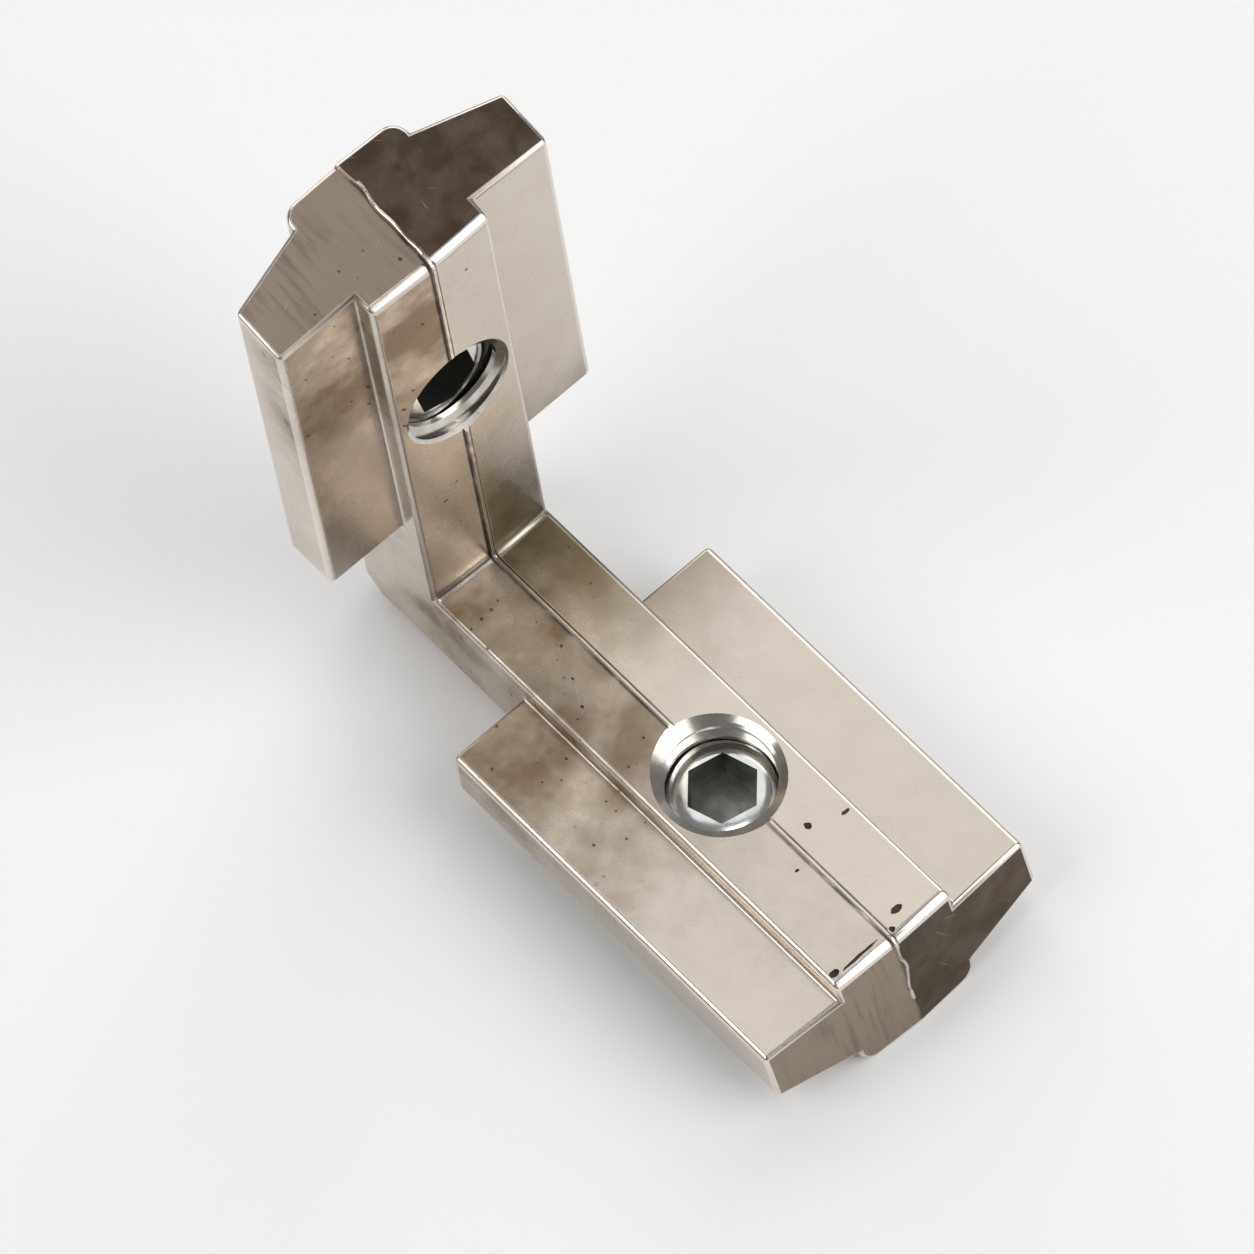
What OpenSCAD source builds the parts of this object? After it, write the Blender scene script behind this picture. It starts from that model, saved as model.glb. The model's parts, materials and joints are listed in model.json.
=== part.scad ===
// Hidden corner bracket for slotted framing bars: a die-cast L whose two equal arms slide into the slots
// of two bars that meet at a right angle. A hexagon-socket set screw in each arm jacks the arm's
// shoulders up against the slot's lips. Millimetres, +Z up, standing on the back of the horizontal arm.

/* [Arms] */
// Length of each inner face, from the knee to the end edge
inner_len = 26; // [22:0.5:32]
// Depth of each arm, from the inner face to the back
arm_depth = 6; // [5.6:0.1:7]
// Width of the core that stands in the slot's mouth
core_w = 6.6; // [6.6:0.1:8]
// Radius along the two back edges of the core
keel_round = 0.9; // [0.3:0.1:0.9]
// Slope of the end faces, which reach further at the back than at the inner face
end_slope = 12; // [2:1:20]
// Draft of the inner and end faces, falling away from the parting line on both sides
draft = 3; // [1:0.5:4]
// Chamfer across the outer corner of the L
corner_chamfer = 1.2; // [0.4:0.1:2]

/* [Wings] */
// Width over both wings, which reach under the slot's lips
wing_w = 15; // [12:0.5:19]
// Drop from the inner face to the shoulders
shoulder_drop = 1.2; // [0.8:0.1:1.6]
// Thickness of a wing at its tip
wing_tip_t = 2.8; // [1.6:0.1:2.8]
// Chamfer along the wing's long edges
wing_edge = 0.3; // [0.1:0.1:0.6]
// Distance from the knee to where the wings start
wing_start = 5.6; // [4:0.2:8]

/* [Tapped holes] */
// Major diameter of the thread in both arms
thread_d = 6; // [5:0.1:6]
// Distance from the knee to the axis of a hole
hole_from_knee = 14.8; // [12:0.2:18]
// Width and depth of the countersink at the mouth of a hole
countersink = 0.2; // [0.1:0.05:0.25]

/* [Set screws] */
// Overall length of a set screw
screw_len = 4; // [3.6:0.1:4.4]
// Radial clearance between the screw's thread and the tapped hole
screw_clearance = 0.05; // [0.02:0.01:0.1]
// Chamfer round the screw's top
screw_chamfer = 0.5; // [0.2:0.1:0.7]
// Width across the flats of the hexagon socket
socket_af = 3; // [2:0.1:3]
// Depth of the hexagon socket
socket_depth = 2; // [1.2:0.1:2.4]
// Diameter of the cup point's cutting ring
cup_d = 3; // [2.4:0.1:3.6]
// Depth of the hollow in the cup point
cup_depth = 0.6; // [0.3:0.1:0.8]
// How far the horizontal screw's tip lies inside the back
tip_inset_horizontal = 0.6; // [0.2:0.1:1.2]
// How far the vertical screw's tip lies inside the back
tip_inset_vertical = 1.1; // [0.2:0.1:1.2]
// Turn of the hexagon socket in the horizontal screw
socket_turn_horizontal = 17; // [0:1:59]
// Turn of the hexagon socket in the vertical screw
socket_turn_vertical = 8; // [0:1:59]

/* [Hidden] */
$fn = 64;

core_half = core_w / 2;
wing_half = wing_w / 2;
// Depth at which the sides of the core turn into the rounded back edges, and where a wing's underside meets them
keel_top = arm_depth - keel_round;
// How much further the end face reaches at the back
end_reach = arm_depth * tan(end_slope);
// Overall length of an arm, from the far back to the end
leg = arm_depth + inner_len + end_reach;
// Length that any blank runs past the finished end, to be trimmed off
blank_len = leg + arm_depth;
screw_r = thread_d / 2 - screw_clearance;
// How far a cutting shape runs past the surface it cuts
cut = 1;

nickel = [0.69, 0.63, 0.56];
bright_steel = [0.76, 0.77, 0.79];

// Moves from a frame at the knee of the inner faces to the part's frame, centred over its base
module at_knee() {
    translate([arm_depth - leg / 2, 0, arm_depth]) children();
}

// Turns what lies along the horizontal arm into its twin along the vertical arm
module as_vertical() {
    mirror([1, 0, -1]) children();
}

// Runs a section, drawn across the arm with its depth downwards, along the horizontal arm
module along_arm(from, to) {
    translate([from, 0, 0]) rotate([90, 0, 90]) linear_extrude(to - from) children();
}

// Neck and keel: a roof-shaped inner face, straight sides and rounded back edges
module core_section() {
    fall = core_half * tan(draft);
    flat = core_half - keel_round;
    polygon([[0, 0], [core_half, -fall], [core_half, -keel_top], [-core_half, -keel_top], [-core_half, -fall]]);
    translate([-flat, -arm_depth]) square([2 * flat, arm_depth - keel_top + cut]);
    for (side = [-1, 1])
        translate([side * flat, -keel_top]) circle(keel_round);
}

// Both wings: flat shoulders on top, an underside that rises from the keel to the tip
module wing_section() {
    tip_depth = shoulder_drop + wing_tip_t;
    rise = (keel_top - tip_depth) / (wing_half - core_half);
    right = [
        [wing_half - wing_edge, -shoulder_drop],
        [wing_half, -shoulder_drop - wing_edge],
        [wing_half, -tip_depth + wing_edge],
        [wing_half - wing_edge, -tip_depth - wing_edge * rise],
        [core_half, -keel_top]
    ];
    left = [for (i = [len(right) - 1 : -1 : 0]) [-right[i][0], right[i][1]]];
    polygon(concat(right, left));
}

// Everything behind the end face: two drafted planes that meet on the sloping parting line
module end_trim() {
    side = wing_half + cut;
    fall = side * tan(draft);
    translate([inner_len, 0, 0]) rotate([0, -end_slope, 0])
        linear_extrude(2 * blank_len, center = true)
            polygon([[0, 0], [-fall, side], [-2 * blank_len, side], [-2 * blank_len, -side], [-fall, -side]]);
}

// Bore at the thread's major diameter, with a countersunk mouth in the inner face
module tapped_hole() {
    mouth_h = countersink + cut;
    translate([hole_from_knee, 0, 0]) {
        translate([0, 0, -arm_depth - cut]) cylinder(d = thread_d, h = arm_depth + 2 * cut);
        translate([0, 0, -countersink]) cylinder(r1 = thread_d / 2, r2 = thread_d / 2 + mouth_h, h = mouth_h);
    }
}

// One arm, lying along +X with its inner face on top
module arm() {
    difference() {
        intersection() {
            union() {
                along_arm(-keel_top, blank_len) core_section();
                along_arm(wing_start, blank_len) wing_section();
            }
            end_trim();
        }
        tapped_hole();
    }
}

// Block where the two cores cross behind the knee, rounded along both backs
module knee_block() {
    intersection() {
        along_arm(-arm_depth, 0) core_section();
        as_vertical() along_arm(-arm_depth, 0) core_section();
    }
}

// Wedge that takes the sharp outer corner off the L
module corner_cut() {
    size = corner_chamfer * sqrt(2);
    translate([-arm_depth, 0, -arm_depth]) rotate([0, 45, 0]) cube([size, core_w + 2 * cut, size], center = true);
}

module bracket_body() {
    color(nickel) at_knee() difference() {
        union() {
            arm();
            as_vertical() arm();
            knee_block();
        }
        corner_cut();
    }
}

// Set screw standing on its cup point, with the hexagon socket on top; its thread is a plain cylinder
module set_screw(socket_turn) {
    cup_r = cup_d / 2;
    point_h = screw_r - cup_r;
    difference() {
        rotate_extrude() polygon([
            [0, cup_depth],
            [cup_r, 0],
            [screw_r, point_h],
            [screw_r, screw_len - screw_chamfer],
            [screw_r - screw_chamfer, screw_len],
            [0, screw_len]
        ]);
        translate([0, 0, screw_len - socket_depth]) rotate([0, 0, socket_turn])
            cylinder(d = socket_af / cos(30), h = socket_depth + cut, $fn = 6);
    }
}

module set_screw_horizontal() {
    color(bright_steel) at_knee()
        translate([hole_from_knee, 0, tip_inset_horizontal - arm_depth])
            set_screw(socket_turn_horizontal);
}

module set_screw_vertical() {
    color(bright_steel) at_knee()
        translate([tip_inset_vertical - arm_depth, 0, hole_from_knee]) rotate([0, 90, 0])
            set_screw(socket_turn_vertical);
}

bracket_body();
set_screw_horizontal();
set_screw_vertical();
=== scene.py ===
# %% [markdown]
# # A hidden corner bracket
# The bracket is a die-cast L with a nickel-plated skin. Each arm carries a tapped hole with a small bright
# set screw in it. The solid model gives every size and place; this lesson adds what the eye looks for:
# rounded edges, the line where the two die halves met, real threads, and metal that has been handled.
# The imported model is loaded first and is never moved, so that every new piece can be measured against it.

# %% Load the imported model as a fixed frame
import json
import math

import bmesh
import bpy
from mathutils import Matrix, Vector, noise

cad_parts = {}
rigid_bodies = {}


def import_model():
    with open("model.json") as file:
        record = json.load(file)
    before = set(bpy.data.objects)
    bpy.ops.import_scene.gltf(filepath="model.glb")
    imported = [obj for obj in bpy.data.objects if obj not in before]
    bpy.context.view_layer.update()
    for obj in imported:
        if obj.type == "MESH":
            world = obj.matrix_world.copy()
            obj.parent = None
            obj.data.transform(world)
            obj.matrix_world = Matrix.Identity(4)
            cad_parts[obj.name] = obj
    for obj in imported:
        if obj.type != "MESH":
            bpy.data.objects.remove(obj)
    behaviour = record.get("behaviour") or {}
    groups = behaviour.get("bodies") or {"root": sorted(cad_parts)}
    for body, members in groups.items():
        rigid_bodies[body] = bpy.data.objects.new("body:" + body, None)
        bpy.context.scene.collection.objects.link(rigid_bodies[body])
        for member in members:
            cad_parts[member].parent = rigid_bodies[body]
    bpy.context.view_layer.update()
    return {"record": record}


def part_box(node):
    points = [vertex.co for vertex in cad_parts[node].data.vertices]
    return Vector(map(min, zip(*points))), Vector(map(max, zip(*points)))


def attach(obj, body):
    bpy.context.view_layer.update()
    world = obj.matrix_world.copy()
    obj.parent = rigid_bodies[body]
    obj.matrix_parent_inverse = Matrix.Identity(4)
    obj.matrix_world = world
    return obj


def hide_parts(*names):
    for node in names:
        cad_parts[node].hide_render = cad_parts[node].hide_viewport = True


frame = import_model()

MM = 0.001
mounts = {mount["name"]: Vector(mount["pos_m"]) for mount in frame["record"]["mounts"]}
casting_low, casting_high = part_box("bracket_body")
print("casting box in mm:", [round(value / MM, 2) for value in (*casting_low, *casting_high)])

# %% [markdown]
# ## The camera
# A small part photographed from half a metre looks almost parallel, so a long lens is used. The camera
# keeps the place from which the part was photographed and only turns a little to bring it to the middle.
# The picture is slightly tilted, which the direction of its rows repeats.

# %% Place the camera
camera_place = Vector((202.4, -128.5, 467.1)) * MM
camera_aim = Vector((-1.0, 0.0, 12.6)) * MM
picture_row = Vector((0.677, 0.734, -0.056))

forward = (camera_aim - camera_place).normalized()
right = (picture_row - forward * picture_row.dot(forward)).normalized()
up = right.cross(forward)
camera_data = bpy.data.cameras.new("camera")
camera_data.sensor_width = 36
camera_data.lens = 345
camera_data.clip_start = 0.05
camera_data.clip_end = 20
camera = bpy.data.objects.new("camera", camera_data)
turn = Matrix((right, up, -forward)).transposed().to_4x4()
camera.matrix_world = Matrix.Translation(camera_place) @ turn
bpy.context.scene.collection.objects.link(camera)
bpy.context.scene.camera = camera
bpy.context.scene.view_settings.view_transform = "Standard"
print("camera looks down at", round(math.degrees(math.asin(-forward.z)), 1), "degrees")

# %% [markdown]
# ## The sizes of the casting
# Lengths are measured from the knee, the inner corner of the L, because both arms start there and are
# equal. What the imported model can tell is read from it: the hole's place, the level of the shoulders, the
# reach of the wings. The rest are the driving sizes of the solid, repeated here in metres.

# %% Sizes
arm_depth = 6 * MM
core_half = 3.3 * MM
keel_round = 0.9 * MM
wing_tip = 2.8 * MM
wing_start = 5.6 * MM
corner_chamfer = 1.2 * MM
end_slope = math.radians(12)
draft = math.radians(3)

leg = casting_high.z - casting_low.z
inner_len = leg - arm_depth - arm_depth * math.tan(end_slope)
wing_half = casting_high.y
knee = Vector((casting_low.x + arm_depth, 0, arm_depth))
shoulder_drop = arm_depth - mounts["horizontal_shoulder_left"].z
tip_depth = shoulder_drop + wing_tip
keel_top = arm_depth - keel_round
hole_from_knee = mounts["horizontal_key_socket"].x - knee.x
roof_fall = core_half * math.tan(draft)
# Points within a micrometre of each other count as one.
close = 1e-6


def end_at(y, z):
    """How far along the arm the sloping, drafted end face lies at this place of the section."""
    return inner_len - (z * math.sin(end_slope) + abs(y) * math.tan(draft)) / math.cos(end_slope)


print("knee to end edge", round(inner_len / MM, 2), "mm")
print("knee to hole", round(hole_from_knee / MM, 2), "mm")

# %% [markdown]
# ## One quarter of the casting
# The L is the same on both sides of its parting plane, and its two arms are twins. So only a quarter has
# to be drawn: half the section of one arm. The section starts on the slanting plane where the arms meet,
# runs to the start of the wing, and on to the end face. Drawing the whole L and cutting it would work as
# well, but a quarter keeps every edge where a real die would have one.

# %% Extrude half a section along one arm
def new_parts(found, kind):
    """The vertices, edges or faces among what an operator made."""
    return [part for part in found if isinstance(part, kind)]


def run_on(mesh, chain, place):
    """Extrudes a chain of edges; place(y, z) says how far along the arm each new vertex goes."""
    made = bmesh.ops.extrude_edge_only(mesh, edges=chain)["geom"]
    fresh = new_parts(made, bmesh.types.BMVert)
    for vert in fresh:
        vert.co.x = place(vert.co.y, vert.co.z)
    return [edge for edge in new_parts(made, bmesh.types.BMEdge) if all(v in fresh for v in edge.verts)]


section = [
    (0, 0),
    (core_half, -roof_fall),
    (core_half, -shoulder_drop),
    (core_half, -keel_top),
    (core_half, -arm_depth),
    (0, -arm_depth),
]
body = bmesh.new()
corner = [body.verts.new((z, y, z)) for y, z in section]
chain = [body.edges.new(pair) for pair in zip(corner, corner[1:])]
chain = run_on(body, chain, lambda y, z: wing_start)
chain = run_on(body, chain, end_at)
print("half section run along the arm:", len(body.faces), "faces")

# %% [markdown]
# ## The wing and the end face
# The wing grows sideways out of the core, like a face pulled out of it: flat on top, where it bears, and
# tapering underneath towards its tip. The end face is closed last, so that its outline holds both.

# %% Pull the wing out and close the end
def on_wing_root(vert):
    """True where the wing joins the side of the core."""
    at_side = abs(vert.co.y - core_half) < close
    between = -keel_top - close < vert.co.z < -shoulder_drop + close
    return at_side and between and vert.co.x > wing_start - close


root = [face for face in body.faces if all(on_wing_root(vert) for vert in face.verts)]
grown = bmesh.ops.extrude_face_region(body, geom=root)["geom"]
for vert in new_parts(grown, bmesh.types.BMVert):
    vert.co.y = wing_half
    if vert.co.z < -shoulder_drop - close:
        vert.co.z = -tip_depth
    if vert.co.x > wing_start + close:
        vert.co.x = end_at(vert.co.y, vert.co.z)
bmesh.ops.delete(body, geom=root, context="FACES_ONLY")
chain.append(body.edges.new([vert for edge in chain for vert in edge.verts if abs(vert.co.y) < close]))
bmesh.ops.edgeloop_fill(body, edges=chain)
print("with its wing and end:", len(body.faces), "faces")

# %% [markdown]
# ## From a quarter to the whole L
# Turning the quarter by 45 degrees stands the plane between the arms upright, so that a plain mirror makes
# the second arm. A mirror across the parting plane makes the other half. Then the sharp outer corner is cut
# off and closed, and edges that only split flat faces are dissolved.

# %% Mirror twice and cut the outer corner
def everything(mesh):
    """All that a bmesh holds, for operators that work on the whole of it."""
    return mesh.verts[:] + mesh.edges[:] + mesh.faces[:]


eighth_turn = Matrix.Rotation(math.radians(45), 3, "Y")
bmesh.ops.rotate(body, cent=(0, 0, 0), matrix=eighth_turn, verts=body.verts)
bmesh.ops.mirror(body, geom=everything(body), axis="Z", merge_dist=close)
bmesh.ops.rotate(body, cent=(0, 0, 0), matrix=eighth_turn.inverted(), verts=body.verts)
bmesh.ops.mirror(body, geom=everything(body), axis="Y", merge_dist=close)
bmesh.ops.remove_doubles(body, verts=body.verts, dist=close)
corner_cut = bmesh.ops.bisect_plane(
    body,
    geom=everything(body),
    plane_co=(corner_chamfer - arm_depth, 0, -arm_depth),
    plane_no=(-1, 0, -1),
    clear_outer=True,
)
bmesh.ops.edgeloop_fill(body, edges=new_parts(corner_cut["geom_cut"], bmesh.types.BMEdge))
bmesh.ops.dissolve_limit(body, angle_limit=math.radians(1), verts=body.verts, edges=body.edges)
bmesh.ops.recalc_face_normals(body, faces=body.faces)
open_edges = [edge for edge in body.edges if not edge.is_manifold]
print("whole L:", len(body.faces), "faces,", len(open_edges), "open edges")

# %% [markdown]
# ## Rounded edges
# No casting has a knife edge: the die is polished, and tumbling rounds the rest. Each kind of edge has its
# own radius. The large one along the back of the core is rounded first, so that the outline of the end
# faces follows it. All the others get a weight, and one Bevel modifier rounds them together, which makes
# cleaner corners than one bevel after another. Hollow edges, such as the knee, become small fillets in the
# same way.

# %% Give every edge its radius
knee_fillet = 0.3 * MM
neck_edge = 0.25 * MM
end_edge = 0.4 * MM
plain_edge = 0.2 * MM
root_fillet = 0.15 * MM
wing_edge = 0.3 * MM
keel_bevel = 0.86 * MM


def near(values, wanted):
    """True if all the values are as wanted."""
    return all(abs(value - wanted) < 10 * close for value in values)


def edge_radius(edge):
    """The radius of an edge, from where it lies when the upright arm is folded onto the other."""
    along = [max(vert.co.x, vert.co.z) for vert in edge.verts]
    depth = [min(vert.co.x, vert.co.z) for vert in edge.verts]
    across = [abs(vert.co.y) for vert in edge.verts]
    if near(across, 0):
        return 0
    if near([a - end_at(y, z) for a, y, z in zip(along, across, depth)], 0):
        return end_edge if min(depth) > -shoulder_drop / 2 else plain_edge
    if near(across, wing_half):
        return wing_edge
    if near(along, wing_start):
        return root_fillet if near(across, core_half) else plain_edge
    if near([a + z for a, z in zip(along, depth)], corner_chamfer - 2 * arm_depth):
        return keel_bevel if near(across, core_half) else plain_edge
    if near(across, core_half) and near(depth, -arm_depth):
        return keel_bevel
    if near(across, core_half) and near(depth, -roof_fall):
        return neck_edge
    if near(across, core_half) and near(depth, -shoulder_drop):
        return root_fillet
    if near([a - z for a, z in zip(along, depth)], 0) and min(depth) > -shoulder_drop:
        return knee_fillet
    return 0


radii = sorted({edge_radius(edge) for edge in body.edges})
print("radii in mm:", [round(radius / MM, 2) for radius in radii])

# %% [markdown]
# The back edges of the core are rounded at once, in a bevel of their own. Every edge that is left then gets
# a weight: its radius as a share of the largest one that the modifier will make.

# %% Round the back edges and weigh the others
bmesh.ops.bevel(
    body,
    geom=[edge for edge in body.edges if edge_radius(edge) == keel_bevel],
    offset=keel_bevel,
    segments=6,
    profile=0.5,
    affect="EDGES",
    material=-1,
)
weights = body.edges.layers.float.new("bevel_weight_edge")
for edge in body.edges:
    edge[weights] = edge_radius(edge) / end_edge
print("edges to round:", sum(edge[weights] > 0 for edge in body.edges), "of", len(body.edges))

# %% [markdown]
# A modifier works on an object, so the body is given one here. The result is read back into a bmesh,
# because the next steps go on cutting it.

# %% Round the edges
def new_object(name, mesh):
    """Makes an object from a bmesh that is no longer needed."""
    data = bpy.data.meshes.new(name)
    mesh.to_mesh(data)
    mesh.free()
    made = bpy.data.objects.new(name, data)
    bpy.context.scene.collection.objects.link(made)
    return made


def apply_modifiers(piece):
    """Replaces the mesh of a piece with what its modifiers make of it."""
    shown = piece.evaluated_get(bpy.context.evaluated_depsgraph_get())
    finished = bpy.data.meshes.new_from_object(shown)
    piece.modifiers.clear()
    piece.data = finished


casting = new_object("bracket_casting", body)
rounding = casting.modifiers.new("rounding", "BEVEL")
rounding.width = end_edge
rounding.limit_method = "WEIGHT"
rounding.segments = 5
rounding.profile = 0.5
rounding.use_clamp_overlap = False
apply_modifiers(casting)
print("rounded body:", len(casting.data.polygons), "faces")

# %% [markdown]
# ## The parting line
# The two die halves never meet perfectly. One half sits a hair off the other, and a thin thread of metal is
# squeezed out between them. It runs as a fine line round the whole casting. Cuts side by side make a narrow
# crest with a gutter on each side, and the long edges are split so that the crest can be uneven.

# %% Cut narrow strips along the parting plane
seam_half = 0.22 * MM
gutter_off = 0.14 * MM
crest_half = 0.07 * MM
seam_step = 0.3 * MM

body = bmesh.new()
body.from_mesh(casting.data)
for offset in (-seam_half, -gutter_off, -crest_half, 0, crest_half, gutter_off, seam_half):
    bmesh.ops.bisect_plane(
        body, geom=everything(body), plane_co=(0, offset, 0), plane_no=(0, 1, 0), dist=close
    )


def seam_edges(longest):
    """The edges that run along the strips and are longer than wanted."""
    found = []
    for edge in body.edges:
        first, last = (vert.co.y for vert in edge.verts)
        if abs(first) < seam_half + close and abs(first - last) < close and edge.calc_length() > longest:
            found.append(edge)
    return found


while seam_edges(seam_step):
    bmesh.ops.subdivide_edges(body, edges=seam_edges(seam_step), cuts=1, use_grid_fill=True)
print("with strips along the parting plane:", len(body.faces), "faces")

# %% [markdown]
# The crest is raised by an uneven amount. One half of the casting is shifted as a whole: up on the lower
# arm, back and a little short on the upright one. So the line shows as a step. On the end faces the metal
# was squeezed out most, and there it forms a rounded, lumpy bead that wanders from side to side.

# %% How far the bead stands out
flash_height = 0.05 * MM
lump_height = 0.1 * MM
lump_depth = 0.95 * MM
lump_length = 0.4 * MM


def clip(value):
    """The value, kept between 0 and 1."""
    return min(max(value, 0), 1)


def bead_rise(depth, uneven, above_back, on_plane):
    """The height of the bead on an end face, with one lump in it; it fades out towards the back."""
    lump = lump_height * math.exp(-(((depth + lump_depth) / lump_length) ** 2))
    rise = flash_height * max(0.7 + 1.6 * uneven, 0.1) + lump
    return rise * (clip(6 * above_back - 0.9) * (1 if on_plane else 0.5))


print("flash is", flash_height / MM, "mm high, the lump", lump_height / MM, "mm higher")

# %% [markdown]
# One pass over the vertices does all of this. How deep a vertex lies below the inner face decides how much
# of the crest, the gutters and the shift it gets, because the backs of the arms have to stay flat.

# %% Raise the flash and shift one half
gutter_depth = 0.035 * MM
half_shift = 0.05 * MM
end_shift = 0.2 * MM
bead_narrow = 0.35
bead_wander = 0.22 * MM
wander_length = 1.3 * MM
uneven_length = 0.7 * MM
facing_end = 0.8

body.normal_update()
outward = {vert: Vector((vert.normal.x, 0, vert.normal.z)).normalized() for vert in body.verts}
for vert, direction in outward.items():
    upright = vert.co.z > vert.co.x
    along = max(vert.co.x, vert.co.z)
    depth = min(vert.co.x, vert.co.z)
    above_back = clip(1 + depth / arm_depth)
    off_plane = abs(vert.co.y)
    on_end = (direction.z if upright else direction.x) > facing_end
    spot = Vector((vert.co.x, 0, vert.co.z))
    uneven = noise.noise(spot / uneven_length)
    if vert.co.y < -crest_half - close:
        if upright:
            vert.co.x -= half_shift * above_back
            vert.co.z -= end_shift * clip(along / inner_len) ** 8
        else:
            vert.co.z += half_shift * above_back
    if off_plane < crest_half + close:
        rise = flash_height * (1 + 0.6 * uneven)
        if on_end:
            rise = bead_rise(depth, uneven, above_back, off_plane < close)
        vert.co += direction * rise * min(2 * above_back, 1)
    elif abs(off_plane - gutter_off) < close and not on_end:
        vert.co -= direction * gutter_depth * above_back
    if off_plane < seam_half + close and on_end:
        fade_in = clip(-depth / MM - 0.6) * min(4 * above_back, 1)
        vert.co.y *= 1 - bead_narrow * fade_in
        vert.co.y += bead_wander * noise.noise(spot / wander_length) * fade_in
bmesh.ops.translate(body, vec=knee, verts=body.verts)
body.to_mesh(casting.data)
body.free()
print("one half is shifted by", half_shift / MM, "mm, the gutters are", gutter_depth / MM, "mm deep")

# %% [markdown]
# ## A thread
# A metric thread of 6 mm has a pitch of 1 mm: each turn climbs one millimetre. A saw-toothed line is spun
# once round the axis while it climbs one pitch. Its last copy then lies on its first, one tooth further
# on, so that welding the two closes the helix. Two cuts square to the axis and two caps make a rod of it.
# The same rod, a little larger, is the tap that cuts the hole, and so screw and hole fit tooth in groove.
# The flats at root and crest, and the flank between them, are shares of the pitch.

# %% Make threaded rods
pitch = 1.0 * MM
thread_steps = 64
root_flat = 0.25
crest_flat = 0.125
flank = (1 - root_flat - crest_flat) / 2


def threaded_rod(crest, root, low, high):
    """A rod with a helical thread, along the Z axis, as a bmesh."""
    rod = bmesh.new()
    crest_start = root_flat + flank
    tooth = [(root, 0), (root, root_flat), (crest, crest_start), (crest, crest_start + crest_flat)]
    first_turn = math.floor(low / pitch) - 2
    last_turn = math.ceil(high / pitch) + 1
    line = []
    for turn_number in range(first_turn, last_turn):
        for radius, share in tooth:
            line.append(rod.verts.new((radius, 0, (turn_number + share) * pitch)))
    edges = [rod.edges.new(pair) for pair in zip(line, line[1:])]
    climb = (0, 0, pitch / thread_steps)
    bmesh.ops.spin(
        rod,
        geom=line + edges,
        cent=(0, 0, 0),
        axis=(0, 0, 1),
        dvec=climb,
        angle=math.tau,
        steps=thread_steps,
    )
    bmesh.ops.remove_doubles(rod, verts=rod.verts, dist=close)
    for level, way in ((low, -1), (high, 1)):
        cut = bmesh.ops.bisect_plane(
            rod, geom=everything(rod), plane_co=(0, 0, level), plane_no=(0, 0, way), clear_outer=True
        )
        bmesh.ops.edgeloop_fill(rod, edges=new_parts(cut["geom_cut"], bmesh.types.BMEdge))
    bmesh.ops.recalc_face_normals(rod, faces=rod.faces)
    return rod


trial = threaded_rod(3.0 * MM, 2.5 * MM, -6 * MM, 1 * MM)
print("tap:", len(trial.faces), "faces,", sum(not edge.is_manifold for edge in trial.edges), "open edges")
trial.free()

# %% [markdown]
# ## Turned shapes
# Countersinks and the blank of a screw are turned on a lathe: a line that is spun round the axis. The line
# starts and ends on the axis, and the doubles there are merged into one pole.

# %% Turn a line into a solid
turning_steps = 64


def turned(line):
    """A closed solid of revolution from a line of (radius, height) points, as a bmesh."""
    solid = bmesh.new()
    verts = [solid.verts.new((radius, 0, height)) for radius, height in line]
    edges = [solid.edges.new(pair) for pair in zip(verts, verts[1:])]
    bmesh.ops.spin(
        solid,
        geom=verts + edges,
        cent=(0, 0, 0),
        axis=(0, 0, 1),
        angle=math.tau,
        steps=turning_steps,
        use_merge=True,
    )
    bmesh.ops.remove_doubles(solid, verts=solid.verts, dist=close)
    bmesh.ops.recalc_face_normals(solid, faces=solid.faces)
    return solid


trial = turned([(0, 0), (2 * MM, 0), (2 * MM, 1 * MM), (0, 1 * MM)])
print("trial disc:", sum(not edge.is_manifold for edge in trial.edges), "open edges")
trial.free()

# %% [markdown]
# ## Cutting one shape with another
# A Boolean modifier cuts, joins or keeps what two solids share. The tool's own materials go with the faces
# it leaves, so a drilled or tapped surface can look different from the cast skin around it. A cut can
# leave hair-thin slivers, which are welded away after each one. The mesh is put in order before that,
# along a slanting direction, because a cut lists its parts differently from run to run.

# %% Set up the cutting
nickel = bpy.data.materials.new("nickel_cast_skin")
tapped_metal = bpy.data.materials.new("tapped_thread")
pit_shade_and_dirt = bpy.data.materials.new("shaded_dirty_pit")
bright_steel = bpy.data.materials.new("bright_plated_steel")
socket_shade_steel = bpy.data.materials.new("dark_socket_steel")
sweep = Vector((0.83, 0.47, 0.29))
sliver = 2 * close


def weld(piece):
    """Merges slivers and closes what they leave open."""
    mesh = bmesh.new()
    mesh.from_mesh(piece.data)
    mesh.verts.sort(key=lambda vert: vert.co.dot(sweep))
    mesh.edges.sort(key=lambda edge: sum(vert.co.dot(sweep) for vert in edge.verts))
    mesh.faces.sort(key=lambda face: face.calc_center_median().dot(sweep))
    bmesh.ops.remove_doubles(mesh, verts=mesh.verts, dist=sliver)
    bmesh.ops.dissolve_degenerate(mesh, edges=mesh.edges, dist=sliver)
    bmesh.ops.holes_fill(mesh, edges=[edge for edge in mesh.edges if edge.is_boundary])
    mesh.to_mesh(piece.data)
    mesh.free()


def work(piece, tool_mesh, operation, materials, place=Matrix.Identity(4)):
    """Cuts, joins or intersects a piece with a tool made from a bmesh."""
    tool_mesh.transform(place)
    tool = new_object("tool", tool_mesh)
    for material in materials:
        tool.data.materials.append(material)
    step = piece.modifiers.new("work", "BOOLEAN")
    step.operation = operation
    step.solver = "EXACT"
    step.material_mode = "TRANSFER"
    step.object = tool
    apply_modifiers(piece)
    weld(piece)
    bpy.data.objects.remove(tool)


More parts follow.
